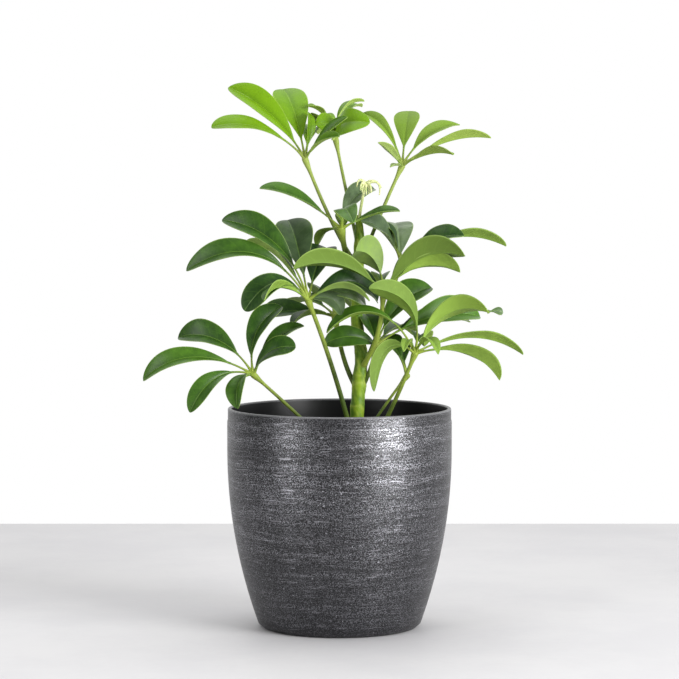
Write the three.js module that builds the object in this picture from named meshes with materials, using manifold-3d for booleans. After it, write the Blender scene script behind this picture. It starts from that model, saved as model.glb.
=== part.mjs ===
// A young umbrella plant in its pot: a stem with twelve fronds and a bud, in soil, in a thin growing pot
// that stands inside a heavier outer pot. Millimetres, +Z up, origin at the middle of the outer pot's base.
// The side that is looked at most faces -Y.
import * as THREE from 'three';
import { mergeVertices } from 'three/addons/utils/BufferGeometryUtils.js';
import Module from 'manifold-3d';

const wasm = await Module();
wasm.setup();

const fit = 0.3; // free space between two pieces that touch

// Outer pot
const potHeight = 137;
const rimRadius = 69.7;
const wallRadius = 70.1; // the straight upper wall, just under the rim band
const bandHeight = 7.5;
const shoulderHeight = 110; // the wall is straight above this
const wallFall = 0.00165; // how fast the wall draws in below the shoulder, per millimetre squared
const potWall = 2.3;
const potFloor = 3;
const footCorner = 1.6; // how far the base's flat stops short of the wall
const footCornerHeight = 2.5;
const lipRound = 0.5;
const potSides = 36;

// Growing pot
const growBase = potFloor + fit;
const growTop = 101;
const growFootRadius = 40;
const growRimRadius = 57;
const growLip = 2; // how far its lip stands out, and how deep it is
const growWall = 1.3;
const growSides = 32;
const drainHoles = 6;
const drainRadius = 4;
const drainCircle = 27;

// Soil
const soilTop = 88;
const soilWaves = [1.6, 0.6]; // height of its broad and its fine unevenness
const soilRings = 6;

// Stem
const stemFoot = 62; // how deep it stands in the soil
const stemTip = 249;
const stemFootRadius = 4.8;
const stemTipRadius = 3;
const stemPlace = [11, 0];
const stemRoute = [[11, 0, 92], [11, -0.5, 132], [12.5, 0, 154], [13.5, 0.5, 170], [10.8, 0.5, 192],
  [11.5, 0, 215], [12.3, 0, 236]];
// The scars of old leaves are low rings: the height of each, and how far it stands out
const leafScars = [[121, 0.4], [137, 0.3], [151, 0.7], [157, 0.8], [171, 0.4], [186, 0.3], [204, 0.4],
  [236, 0.5]];
const scarSpread = 3.5;

// Leaflets
const bladeThickness = 0.8;
const bladeRows = 6;
const bladeTip = 0.35; // half the width of a blade's blunt tip
const bladeSkew = 1.6; // over 1 puts the widest part past the middle
const bladeFullness = 0.65; // under 1 makes the ends rounder
const curlFrom = 0.55; // the share of the blade after which it curls down
const trough = 0.45; // how far the margins rise above the midrib, as a share of half the width
const leafletStalk = 1.5; // thickness of a leaflet's own stalk
const footShare = 0.15; // the share of the blade over which it thins out from its stalk
const hubRadius = 2;
const sheathReach = 7; // the length over which a petiole's foot is swollen
const sheathSwell = 0.7;

// Each frond: where its petiole leaves the stem's axis, the point that bends it, its hub, and its radius at
// both ends. Each leaflet, from the hub: its tip (right, back, up), the share of its length that is bare
// stalk, its width, how far it bows upwards, how far its upper side is turned to the front in degrees
// (below zero, the pale underside faces front), how far its tip curls down, and the turn of its bow where
// that isn't half of the leaflet's own.
const fronds = [
  {
    name: 'frond_01_top_left', young: true,
    joint: [12, 0, 224], bend: [-4, 2, 246], hub: [-21.5, 5, 292], radii: [1.6, 1.2],
    leaflets: [
      [-58, -8, 20, 0.3, 15, 9, 35, 1], [-48, 10, 45, 0.22, 19, 6, 42, 1],
      [-14, 26, 46, 0.28, 22, 4, 10, 3], [26, -15, 26, 0.25, 7, 2, 60, 1], [21, -27, 14, 0.2, 9, 3, 40, 1],
      [3, 8, 30, 0.28, 8, 3, 70, 2], [8, 42, 18, 0.25, 16, 8, 0, 2],
    ],
  },
  {
    name: 'frond_02_top_middle', young: true,
    joint: [12, 0, 236], bend: [6, 9, 262], hub: [-2.5, 20, 304.6], radii: [1.4, 1.1],
    leaflets: [
      [21, -28, 10, 0.1, 20, 8, 60, 1, 60], [-14, 12, 14, 0.3, 18, 4, 0, 3], [18, 15, 25, 0.35, 7, 5, -10, 1],
      [17, 32, 22, 0.35, 6, 5, 5, 1], [-17, -8, 21, 0.45, 7, 6, 0, 1, -30],
      [-12, -11, 9, 0.12, 15, 5, 60, 1],
    ],
  },
  {
    name: 'frond_03_top_right', young: true,
    joint: [12.3, 0, 224], bend: [22.4, 7, 251.5], hub: [39.3, 15, 287.8], radii: [1.5, 1.2],
    leaflets: [
      [-26, 20, 35, 0.22, 11, 7, 30, 3], [-15, -10, 15, 0.2, 7, 1, -20, 1], [-8, -28, -1, 0.2, 4, 1, 0, 0],
      [4, 18, 36, 0.35, 16.5, 1, 0, 3], [36.5, 10, 26.5, 0.28, 14, 6, 28, 1],
      [55, -12, 18, 0.33, 10, 6, -25, 1], [31, -30, 7.5, 0.25, 11, 3.5, -20, 1],
    ],
  },
  {
    name: 'frond_04_upper_middle',
    joint: [11.5, 0, 210], bend: [4, -8, 228], hub: [1, -12, 248.5], radii: [2.2, 2],
    leaflets: [
      [-50, -5, 26, 0.3, 14, 5, 28, 1], [20, 26, 26, 0.25, 14, 12, 0, 2], [36, -8, 12, 0.3, 9, 2.5, 25, 1],
      [7, -40, 6, 0.2, 14, 10, 20, 2], [1, 20, 2, 0.2, 9, 6, 0, 2], [-16, 20, -10, 0.2, 8, 4, 0, 2],
    ],
  },
  {
    name: 'frond_05_middle_left',
    joint: [11, 0, 106], bend: [-1.5, -19, 160], hub: [-19.2, -30, 205.5], radii: [1.9, 1.5],
    leaflets: [
      [-53, 5, 50, 0.33, 18, 13, 50, 2], [-75, -5, 19, 0.28, 17, 21, 42, 2],
      [-39, -22, -5, 0.2, 17, 15, 40, 3], [-27, -42, 3, 0.2, 10, 8, -35, 2],
      [22, 4, -9, 0.12, 14, 6, 50, 2], [-13, 28, 51, 0.3, 23, 4, 15, 4], [11, 30, 35, 0.3, 20, 3, 10, 5],
      [44, 16, -1, 0.15, 22, 12, 42, 2], [38, -18, 1, 0.2, 8, 8, -25, 1], [-38, 28, 37, 0.3, 15, 6, -20, 3],
      [37, 19, -4, 0.25, 15, 7, 45, 2],
    ],
  },
  {
    name: 'frond_06_right_back',
    joint: [13.5, 0, 158], bend: [28.4, 8, 192.4], hub: [38.5, 8, 227.5], radii: [1.7, 1.4],
    leaflets: [
      [-24, -22, 27, 0.3, 18, 4, 50, 2], [-11, -4, 26, 0.3, 12, 1, 30, 3], [-3, 22, 27, 0.2, 20, 2, 0, 4],
      [39, -6, 18, 0.25, 18, 4, 32, 2], [67, 16, 10.5, 0.34, 14, 10.5, -15, 1],
      [-1, 46, 9, 0.25, 17, 10, 0, 2],
    ],
  },
  {
    name: 'frond_07_right_front',
    joint: [13.5, 0, 162], bend: [25.5, -19, 177], hub: [27, -22, 210], radii: [1.8, 1.5],
    leaflets: [
      [-56, -20, 17, 0.18, 17, 9, -40, 3, 10], [-19, -10, 27, 0.3, 20, 11, -60, 3],
      [50, -22, 24, 0.12, 20, 11.5, -50, 2], [47, -10, 13.5, 0.3, 17, 10, -35, 1],
      [-2, 34, 6, 0.25, 12, 6, 0, 2], [33, 22, 18, 0.25, 17, 8, 10, 2],
    ],
  },
  {
    name: 'frond_08_low_right',
    joint: [11, 0, 95], bend: [32.9, -11, 135.3], hub: [46.5, -20, 172.1], radii: [1.8, 1.4],
    leaflets: [
      [68, 10, 0, 0.22, 13, 10, -14, 1.5], [52.5, -20, -14, 0.2, 15, 9.5, -46, 2],
      [46, -10, 28, 0.18, 16, 15, -48, 3, -40], [-29, -27, 42, 0.28, 14, 14, -50, 1, 25],
      [-56, -4, 15, 0.35, 12, 18, 20, 3], [-27, -24, -21, 0.22, 12, 18, -75, 2, 12],
      [-8, -34, 6, 0.3, 6, 6, 0, 3], [14, -32, 5, 0.25, 7.5, 7, 0, 4], [7, 34, 4, 0.25, 14, 8, 0, 2],
    ],
  },
  {
    name: 'frond_09_middle_low',
    joint: [12.5, 0, 148], bend: [20, -2, 158], hub: [22.7, -8, 176.6], radii: [1.6, 1.5],
    leaflets: [
      [35, 16, 36, 0.25, 20, 8, 35, 1.5], [67, 24, 18, 0.3, 21, 8, 45, 3],
      [61, 44, 13.5, 0.25, 18, 8, 35, 2], [-7, 14, 20, 0.2, 13, 2, 10, 2], [-32, -8, 2, 0.1, 15, 5, 55, 2],
      [24, 40, 6, 0.25, 16, 6, 0, 2],
    ],
  },
  {
    name: 'frond_10_left_back',
    joint: [12.5, 0, 147], bend: [2, 4, 160], hub: [-2.8, 14, 193.4], radii: [2, 1.5],
    leaflets: [
      [-49, 8, 0, 0.25, 17, 3, 40, 2], [-28, -15, -4, 0.2, 14, 4, -5, 2], [-12, 38, 13, 0.25, 19, 8, 0, 2],
      [6, 30, 15, 0.25, 15, 6, 0, 2], [12, 40, 4, 0.25, 17, 9, 0, 2], [-33, 40, 0, 0.25, 17, 9, 10, 2],
    ],
  },
  {
    name: 'frond_11_low_left',
    joint: [11, 0, 96], bend: [-20, -12, 129], hub: [-53, -22, 159.1], radii: [1.5, 1.2],
    leaflets: [
      [-48, 8, 24, 0.3, 18, 10.5, 48, 3], [-70, -5, -1, 0.25, 15, 12.5, 42, 5],
      [-38.5, -24, -21, 0.32, 13, 12, 38, 2], [-10, -22, -19, 0.15, 13, 8, -10, 2],
      [17.5, 6, 43, 0.25, 15, 10, 40, 2], [31, 12, 31, 0.2, 11, 6, 30, 2],
      [26, -10, 19, 0.15, 16, 6, 50, 2],
    ],
  },
  {
    name: 'frond_12_low_back',
    joint: [11.5, 0, 112], bend: [26, 3, 136], hub: [42.1, 0, 156.8], radii: [1.2, 1],
    leaflets: [
      [-15, 12, 25, 0.4, 15, 3, 10, 2], [-6, 28, 19, 0.35, 13, 3, 0, 2],
    ],
  },
];

// The bud: a tuft of narrow leaflets that haven't opened, on a thin stalk of their own. Each: tip from the
// hub and bow.
const bud = {
  joint: [11, 0, 246], bend: [13, -3, 262], hub: [16, -14, 276.5], radii: [1.3, 0.9],
  threads: [
    [-5.5, -2, -1, 4], [-3, -5, -6, 5], [1, -6, -7, 5], [5, -5, -5, 5], [9.5, -2, -6, 6], [8, 3, -2, 4],
    [-2, 3, -5, 4],
  ],
  thickness: [1.4, 0.8],
};

const looks = {
  potPlastic: { color: 0x343436, roughness: 0.45, metalness: 0.35 },
  growPlastic: { color: 0x161616, roughness: 0.6, metalness: 0 },
  soil: { color: 0x2e2119, roughness: 1, metalness: 0 },
  stem: { color: 0x6d9a2f, roughness: 0.5, metalness: 0 },
  youngLeaf: { color: 0x7fb02c, roughness: 0.35, metalness: 0 },
  leaf: { color: 0x3f6f2b, roughness: 0.32, metalness: 0 },
  bud: { color: 0xdde68c, roughness: 0.5, metalness: 0 },
};

const point = (coordinates) => new THREE.Vector3(...coordinates);

// A closed geometry as a solid, with shared corners welded and its faces pointing out
function toSolid(geometry) {
  const bare = new THREE.BufferGeometry();
  bare.setAttribute('position', geometry.getAttribute('position'));
  bare.setIndex(geometry.index);
  const welded = mergeVertices(bare);
  const places = welded.getAttribute('position');
  const at = (corner) => new THREE.Vector3().fromBufferAttribute(places, corner);
  const triangles = [];
  let volume = 0;
  for (let i = 0; i < welded.index.count; i += 3) {
    const [a, b, c] = [0, 1, 2].map((k) => welded.index.getX(i + k));
    if (a === b || b === c || c === a) continue;
    triangles.push([a, b, c]);
    volume += at(a).dot(at(b).cross(at(c)));
  }
  const outward = volume > 0 ? triangles : triangles.map(([a, b, c]) => [a, c, b]);
  return new wasm.Manifold(new wasm.Mesh({
    numProp: 3,
    vertProperties: new Float32Array(places.array),
    triVerts: new Uint32Array(outward.flat()),
  }));
}

function toMesh(solid, name, look) {
  const { vertProperties, triVerts } = solid.getMesh();
  const geometry = new THREE.BufferGeometry();
  geometry.setAttribute('position', new THREE.BufferAttribute(vertProperties, 3));
  geometry.setIndex(new THREE.BufferAttribute(triVerts, 1));
  const mesh = new THREE.Mesh(geometry, new THREE.MeshStandardMaterial({ ...look, flatShading: true }));
  mesh.name = name;
  return mesh;
}

// A solid turned round the vertical axis from [radius, height] points
function turned(profile, sides) {
  const lathe = new THREE.LatheGeometry(profile.map(([r, z]) => new THREE.Vector2(r, z)), sides);
  return lathe.rotateX(Math.PI / 2);
}

function uprightCylinder(radius, low, high, x, y, sides) {
  const cylinder = new THREE.CylinderGeometry(radius, radius, high - low, sides);
  return cylinder.rotateX(Math.PI / 2).translate(x, y, (low + high) / 2);
}

// A round stalk along a curve. radiusAt gives its radius at a share of its length and a height.
function stalk(curve, radiusAt, sides, steps) {
  const ring = Array.from({ length: sides }, (_, i) => {
    const angle = (i / sides) * 2 * Math.PI;
    return new THREE.Vector2(Math.cos(angle), Math.sin(angle));
  });
  const options = { steps, extrudePath: curve, bevelEnabled: false };
  const body = new THREE.ExtrudeGeometry(new THREE.Shape(ring), options);
  const centres = curve.getSpacedPoints(steps);
  const places = body.getAttribute('position');
  for (let i = 0; i < places.count; i++) {
    const corner = new THREE.Vector3().fromBufferAttribute(places, i);
    const gaps = centres.map((centre) => centre.distanceTo(corner));
    const nearest = gaps.indexOf(Math.min(...gaps));
    const centre = centres[nearest];
    corner.sub(centre).setLength(radiusAt(nearest / steps, centre.z)).add(centre);
    places.setXYZ(i, corner.x, corner.y, corner.z);
  }
  return body;
}

// A thin sheet with the same triangles on its upper and its lower face, and a rim round its edge. place
// gives the point at a share across (-1 to 1), a share along (0 to 1) and a side (1 upper, -1 lower).
function sheet(columns, rows, place) {
  const grid = new THREE.PlaneGeometry(2, 1, columns, rows);
  const places = grid.getAttribute('position');
  const points = [];
  for (const side of [1, -1]) {
    for (let i = 0; i < places.count; i++) points.push(...place(places.getX(i), 0.5 - places.getY(i), side));
  }
  const triangles = [];
  for (let i = 0; i < grid.index.count; i += 3) {
    const [a, b, c] = [0, 1, 2].map((k) => grid.index.getX(i + k));
    triangles.push(a, b, c, places.count + a, places.count + c, places.count + b);
  }
  const last = rows * (columns + 1);
  const edge = [];
  for (let i = 0; i < columns; i++) edge.push(i);
  for (let i = 0; i < rows; i++) edge.push(i * (columns + 1) + columns);
  for (let i = columns; i > 0; i--) edge.push(last + i);
  for (let i = rows; i > 0; i--) edge.push(i * (columns + 1));
  edge.forEach((a, i) => {
    const b = edge[(i + 1) % edge.length];
    triangles.push(a, b, places.count + b, a, places.count + b, places.count + a);
  });
  const body = new THREE.BufferGeometry();
  body.setAttribute('position', new THREE.Float32BufferAttribute(points, 3));
  return body.setIndex(triangles);
}

// Half a blade's width at a share of its length: drawn in at the base, widest past the middle, round at the
// tip
function bladeHalf(along, width) {
  const least = leafletStalk / 2 + (bladeTip - leafletStalk / 2) * along;
  return Math.max(least, (width / 2) * Math.sin(Math.PI * along ** bladeSkew) ** bladeFullness);
}

// The line of a leaflet's midrib, and the way its upper side faces
function midrib(hub, [right, back, up, , , bow, turn, , bowTurn = turn / 2]) {
  const reach = new THREE.Vector3(right, back, up);
  const chord = reach.clone().normalize();
  const aside = chord.clone().cross(new THREE.Vector3(0, 0, 1)).normalize();
  const upward = aside.clone().cross(chord);
  if (aside.y > 0) aside.negate();
  const turnedBy = (degrees) => {
    const angle = THREE.MathUtils.degToRad(degrees);
    return upward.clone().multiplyScalar(Math.cos(angle)).addScaledVector(aside, Math.sin(angle));
  };
  const face = turnedBy(turn);
  const lift = turnedBy(bowTurn);
  const bend = hub.clone().addScaledVector(reach, 0.5).addScaledVector(lift, 2 * bow);
  return { curve: new THREE.QuadraticBezierCurve3(hub, bend, hub.clone().add(reach)), face };
}

// A leaflet: its own stalk and its blade in one sheet
function leafletSheet(curve, face, [, , , share, width, , , curl]) {
  const stations = [0, share / 2];
  for (let i = 0; i <= bladeRows; i++) {
    stations.push(share + (1 - share) * (0.5 - 0.5 * Math.cos((Math.PI * i) / bladeRows)));
  }
  const rows = stations.length - 1;
  return sheet(2, rows, (across, row, side) => {
    const at = stations[Math.round(row * rows)];
    const along = Math.max(0, (at - share) / (1 - share));
    const ahead = curve.getTangent(at);
    const normal = face.clone().addScaledVector(ahead, -face.dot(ahead)).normalize();
    const aside = normal.clone().cross(ahead);
    const half = bladeHalf(along, width);
    const thickness = bladeThickness + (leafletStalk - bladeThickness) * Math.max(0, 1 - along / footShare);
    const droop = curl * Math.max(0, (along - curlFrom) / (1 - curlFrom)) ** 2;
    const rise = along > 0 ? trough * half * Math.abs(across) : 0;
    const lift = rise - droop + (side * thickness) / 2;
    return curve.getPoint(at).addScaledVector(aside, across * half).addScaledVector(normal, lift).toArray();
  });
}

// A petiole with the hub at its end
function petioleAndHub({ joint, bend, hub, radii }, swell, knobRadius) {
  const route = new THREE.QuadraticBezierCurve3(...[joint, bend, hub].map(point));
  const length = route.getLength();
  const [foot, head] = radii;
  const radiusAt = (t) => foot + (head - foot) * t + swell * Math.exp(-(((t * length) / sheathReach) ** 2));
  const knob = new THREE.IcosahedronGeometry(knobRadius, 0).translate(...hub);
  return toSolid(stalk(route, radiusAt, 6, 9)).add(toSolid(knob));
}

// One frond: petiole, hub and leaflets grown together
function frond(one) {
  let body = petioleAndHub(one, sheathSwell, hubRadius);
  for (const leaflet of one.leaflets) {
    const { curve, face } = midrib(point(one.hub), leaflet);
    body = body.add(toSolid(leafletSheet(curve, face, leaflet)));
  }
  return body;
}

function budTuft() {
  const [root, tip] = bud.thickness;
  let body = petioleAndHub(bud, 0, bud.radii[1] * 1.4);
  for (const [right, back, up, bow] of bud.threads) {
    const { curve } = midrib(point(bud.hub), [right, back, up, 0, 0, bow, 0]);
    body = body.add(toSolid(stalk(curve, (t) => (root + (tip - root) * t) / 2, 4, 4)));
  }
  return body;
}

// The stem, or the same stem a little thicker, which cuts the seats of the petioles
function stem(extra) {
  const route = [[...stemPlace, stemFoot], ...stemRoute, [...stemPlace, stemTip + extra]];
  const radiusAt = (t, height) => {
    const rings = leafScars.map(([scar, rise]) => rise * Math.exp(-(((height - scar) / scarSpread) ** 2)));
    return stemFootRadius + (stemTipRadius - stemFootRadius) * t + Math.max(...rings) + extra;
  };
  return toSolid(stalk(new THREE.CatmullRomCurve3(route.map(point)), radiusAt, 10, 36));
}

function potOuter(height) {
  return wallRadius - wallFall * Math.max(0, shoulderHeight - height) ** 2;
}

function cachepot() {
  const bandFoot = potHeight - bandHeight;
  const mouth = rimRadius - potWall;
  const outer = [footCornerHeight, 20, 40, 62, 85, shoulderHeight].map((z) => [potOuter(z), z]);
  const inner = [shoulderHeight, 75, 42, 14].map((z) => [potOuter(z) - potWall, z]);
  return toSolid(turned([
    [0, 0], [potOuter(0) - footCorner, 0], ...outer,
    [wallRadius, bandFoot - lipRound], [rimRadius, bandFoot],
    [rimRadius, potHeight - lipRound], [rimRadius - lipRound, potHeight],
    [mouth + lipRound, potHeight], [mouth, potHeight - lipRound], ...inner,
    [potOuter(potFloor) - potWall - footCorner, potFloor], [0, potFloor],
  ], potSides));
}

function growingPot() {
  const innerFoot = growFootRadius - growWall;
  const innerRim = growRimRadius - growWall;
  let pot = toSolid(turned([
    [0, growBase], [growFootRadius, growBase], [growRimRadius, growTop - growLip],
    [growRimRadius + growLip, growTop - growLip], [growRimRadius + growLip, growTop], [innerRim, growTop],
    [innerFoot, growBase + growWall], [0, growBase + growWall],
  ], growSides));
  for (let i = 0; i < drainHoles; i++) {
    const angle = (i / drainHoles) * 2 * Math.PI;
    const [x, y] = [drainCircle * Math.cos(angle), drainCircle * Math.sin(angle)];
    pot = pot.subtract(toSolid(uprightCylinder(drainRadius, 0, growBase + 2 * growWall, x, y, 10)));
  }
  return pot;
}

// The soil fills the growing pot to its own height. Its top is uneven, and the stem stands in a hole in it.
function soil() {
  const foot = growBase + growWall + fit;
  const slope = (growRimRadius - growFootRadius) / (growTop - growBase - growWall);
  const radiusAt = (height) => growFootRadius - growWall - 2 * fit + slope * (height - growBase - growWall);
  const edge = radiusAt(soilTop);
  const top = Array.from({ length: soilRings }, (_, i) => [edge * (1 - i / soilRings), soilTop]);
  const body = turned([[0, foot], [radiusAt(foot), foot], ...top, [0, soilTop]], growSides);
  const places = body.getAttribute('position');
  for (let i = 0; i < places.count; i++) {
    const [x, y] = [places.getX(i), places.getY(i)];
    if (places.getZ(i) < soilTop - 1 || Math.hypot(x, y) > edge - 1) continue;
    const broad = Math.sin(0.31 * x + 0.5) * Math.cos(0.27 * y - 0.4);
    places.setZ(i, soilTop + soilWaves[0] * broad + soilWaves[1] * Math.sin(0.8 * (x - y)));
  }
  const hole = uprightCylinder(stemFootRadius + fit, stemFoot - fit, potHeight, ...stemPlace, 16);
  return toSolid(body).subtract(toSolid(hole));
}

const seatCutter = stem(fit);
const plant = new THREE.Group();
plant.add(toMesh(cachepot(), 'cachepot', looks.potPlastic));
plant.add(toMesh(growingPot(), 'growing_pot', looks.growPlastic));
plant.add(toMesh(soil(), 'soil', looks.soil));
plant.add(toMesh(stem(0), 'main_stem', looks.stem));
plant.add(toMesh(budTuft().subtract(seatCutter), 'bud', looks.bud));
for (const one of fronds) {
  plant.add(toMesh(frond(one).subtract(seatCutter), one.name, one.young ? looks.youngLeaf : looks.leaf));
}

export default plant;
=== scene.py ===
import math
import random

import bmesh
import bpy
from mathutils import Matrix, Vector, noise


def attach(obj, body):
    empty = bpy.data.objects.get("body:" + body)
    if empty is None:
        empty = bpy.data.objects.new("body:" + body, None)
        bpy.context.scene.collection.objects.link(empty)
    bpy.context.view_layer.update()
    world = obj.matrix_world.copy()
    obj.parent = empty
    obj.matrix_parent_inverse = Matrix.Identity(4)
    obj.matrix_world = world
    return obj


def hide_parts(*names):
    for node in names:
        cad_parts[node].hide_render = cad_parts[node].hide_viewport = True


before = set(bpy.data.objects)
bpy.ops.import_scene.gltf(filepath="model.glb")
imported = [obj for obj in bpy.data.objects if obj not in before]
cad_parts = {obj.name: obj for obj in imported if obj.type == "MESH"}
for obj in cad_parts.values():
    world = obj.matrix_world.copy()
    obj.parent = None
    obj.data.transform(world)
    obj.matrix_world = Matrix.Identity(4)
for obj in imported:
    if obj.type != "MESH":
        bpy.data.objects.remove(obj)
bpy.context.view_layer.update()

mm = 0.001  # the tables below are in millimetres, as the plant was measured
weld = 0.001  # millimetres within which two vertices are one
near = 0.02  # millimetres within which a vertex lies on a circular edge


def bell(distance, spread):  # 1 in the middle, and nearly nothing two spreads away
    return math.exp(-(distance / spread) ** 2)


def shade(red, green, blue):  # a screen's colour, from 0 to 255, in the linear values that nodes take
    levels = [level / 255 for level in (red, green, blue)]
    return tuple(((level + 0.055) / 1.055) ** 2.4 for level in levels) + (1.0,)


class Wire:  # a socket that adds Math nodes when it is used in an expression
    def __init__(self, finish, socket):
        self.finish = finish
        self.socket = socket

    def __add__(self, other):
        return self.finish.sum("ADD", self, other)

    __radd__ = __add__

    def __mul__(self, other):
        return self.finish.sum("MULTIPLY", self, other)

    __rmul__ = __mul__

    def __sub__(self, other):
        return self.finish.sum("SUBTRACT", self, other)

    def __rsub__(self, other):
        return self.finish.sum("SUBTRACT", other, self)

    def __pow__(self, other):
        return self.finish.sum("POWER", self, other)

    def __abs__(self):
        return self.finish.sum("ABSOLUTE", self)


class Finish:  # a material, or the world, and the nodes in it
    def __init__(self, name, owner=None):
        self.owner = owner or bpy.data.materials.new(name)
        self.owner.use_nodes = True
        self.tree = self.owner.node_tree
        self.tree.nodes.clear()

    def node(self, kind, settings, sockets, out=0):
        made = self.tree.nodes.new(kind)
        for name, value in settings.items():
            setattr(made, name, value)
        for name, value in sockets.items():
            if isinstance(value, Wire):
                self.tree.links.new(value.socket, made.inputs[name])
            else:
                made.inputs[name].default_value = value
        return Wire(self, made.outputs[out]) if made.outputs else None

    def sum(self, operation, *values):
        return self.node("ShaderNodeMath", {"operation": operation}, dict(enumerate(values)))

    def objectPlace(self):
        return self.node("ShaderNodeTexCoord", {}, {}, "Object")

    def parts(self, vector):
        return [self.node("ShaderNodeSeparateXYZ", {}, {0: vector}, axis) for axis in range(3)]

    def joined(self, x, y, z):
        return self.node("ShaderNodeCombineXYZ", {}, {0: x, 1: y, 2: z})

    def stretched(self, vector, scale):
        return self.node("ShaderNodeVectorMath", {"operation": "MULTIPLY"}, {0: vector, 1: scale})

    def noise(self, vector, scale, detail=2.0, roughness=0.5):
        sockets = {"Vector": vector, "Scale": scale, "Detail": detail, "Roughness": roughness}
        return self.node("ShaderNodeTexNoise", {}, sockets)

    def step(self, value, low, high, start=0.0, end=1.0):  # smooth, from start at low to end at high
        sockets = {"Value": value, "From Min": low, "From Max": high, "To Min": start, "To Max": end}
        return self.node("ShaderNodeMapRange", {"interpolation_type": "SMOOTHSTEP"}, sockets)

    def blend(self, factor, first, second):
        sockets = {0: factor, 6: first, 7: second}
        return self.node("ShaderNodeMix", {"data_type": "RGBA"}, sockets, 2)

    def bump(self, height, strength, distance):
        sockets = {"Height": height, "Strength": strength, "Distance": distance}
        return self.node("ShaderNodeBump", {}, sockets)

    def surface(self, sockets):
        shader = self.node("ShaderNodeBsdfPrincipled", {}, sockets)
        self.node("ShaderNodeOutputMaterial", {}, {"Surface": shader})
        return self.owner


def turnOutwards(mesh):  # the faces of each closed body in the mesh point outwards
    bmesh.ops.recalc_face_normals(mesh, faces=mesh.faces)
    seen = set()
    for first in mesh.faces:
        if first in seen:
            continue
        seen.add(first)
        body = [first]
        for face in body:
            beside = [other for edge in face.edges for other in edge.link_faces if other not in seen]
            seen.update(beside)
            body += dict.fromkeys(beside)
        volume = sum(face.calc_center_median().dot(face.normal) * face.calc_area() for face in body)
        if volume < 0:
            bmesh.ops.reverse_faces(mesh, faces=body)


def addPiece(name, mesh, material, replaced, smoothAngle=40):  # a finished bmesh in millimetres
    turnOutwards(mesh)
    bmesh.ops.scale(mesh, vec=(mm, mm, mm), verts=mesh.verts)
    data = bpy.data.meshes.new(name)
    mesh.to_mesh(data)
    mesh.free()
    data.materials.append(material)
    data.shade_smooth()
    data.set_sharp_from_angle(angle=math.radians(smoothAngle))
    piece = bpy.data.objects.new(name, data)
    bpy.context.scene.collection.objects.link(piece)
    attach(piece, "root")
    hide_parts(replaced)


def turnProfile(profile, segments, rounds):  # a closed solid of revolution from (radius, height) points
    mesh = bmesh.new()
    corners = [mesh.verts.new((radius, 0, height)) for radius, height in profile]
    for first, second in zip(corners, corners[1:]):
        mesh.edges.new((first, second))
    bmesh.ops.spin(mesh, geom=mesh.verts[:] + mesh.edges[:], axis=(0, 0, 1), cent=(0, 0, 0),
                   angle=2 * math.pi, steps=segments, use_merge=True)
    bmesh.ops.remove_doubles(mesh, verts=mesh.verts, dist=weld)
    for radius, height, offset, steps in rounds:  # each rounds one circular edge
        def onRing(vert):
            aside = math.hypot(vert.co.x, vert.co.y) - radius
            return max(abs(aside), abs(vert.co.z - height)) < near

        ring = [edge for edge in mesh.edges if all(onRing(vert) for vert in edge.verts)]
        bmesh.ops.bevel(mesh, geom=ring, offset=offset, segments=steps, profile=0.5, affect="EDGES",
                        material=-1)
    bmesh.ops.recalc_face_normals(mesh, faces=mesh.faces)
    return mesh


def cutAway(name, piece, cutter):  # takes the cutter's shape out of the piece, both as bmesh
    objects = []
    for label, mesh in ((name, piece), (name + "Cutter", cutter)):
        data = bpy.data.meshes.new(label)
        mesh.to_mesh(data)
        mesh.free()
        made = bpy.data.objects.new(label, data)
        bpy.context.scene.collection.objects.link(made)
        objects.append(made)
    body, tool = objects
    modifier = body.modifiers.new("cut", "BOOLEAN")
    modifier.object = tool
    modifier.operation = "DIFFERENCE"
    modifier.solver = "EXACT"
    bpy.context.view_layer.update()
    result = bmesh.new()
    result.from_object(body, bpy.context.evaluated_depsgraph_get())
    for made in objects:
        data = made.data
        bpy.data.objects.remove(made)
        bpy.data.meshes.remove(data)
    return result


cachepot = {
    "height": 137, "rimRadius": 69.7, "wallRadius": 70.1, "bandHeight": 7.5, "shoulderHeight": 110,
    "wallFall": 0.00165, "wall": 2.3, "floor": 3, "footCorner": 1.6, "footHeight": 2.5, "innerCurve": 14,
    "lipRound": 0.9, "lipSteps": 5, "segments": 160, "outerRings": 26, "innerRings": 20,
    "plastic": shade(22, 22, 24), "silverSheen": shade(200, 200, 207), "worn": shade(200, 200, 205),
    # the inside is painted darker than the outer plastic: painted shade in the pot's hollow
    "inside": shade(11, 11, 13),
    "streakAmount": 0.22, "speckAmount": 0.5, "lineAmount": 0.45, "ringPale": 0.1, "lipPale": 0.2,
    # fewer flakes towards the foot darken the lower wall as painted shade
    "bandShare": 0.55, "footShare": 0.58, "footFade": 90,  # of the flakes on the rim band and at the foot
    "plasticRoughness": 0.34, "flakeRoughness": 0.36, "relief": 0.12,
    # how fine each pattern is along x, y and z: the brushing is long round the wall and thin in height
    "fineStreaks": (60, 60, 2300), "longStreaks": (44, 44, 2200), "bands": (7, 7, 300),
    "grain": (1400, 1400, 2600), "clouds": (14, 14, 20), "scuffs": (60, 60, 900),
}


def potOuter(height):
    drop = max(0, cachepot["shoulderHeight"] - height)
    return cachepot["wallRadius"] - cachepot["wallFall"] * drop ** 2


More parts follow.
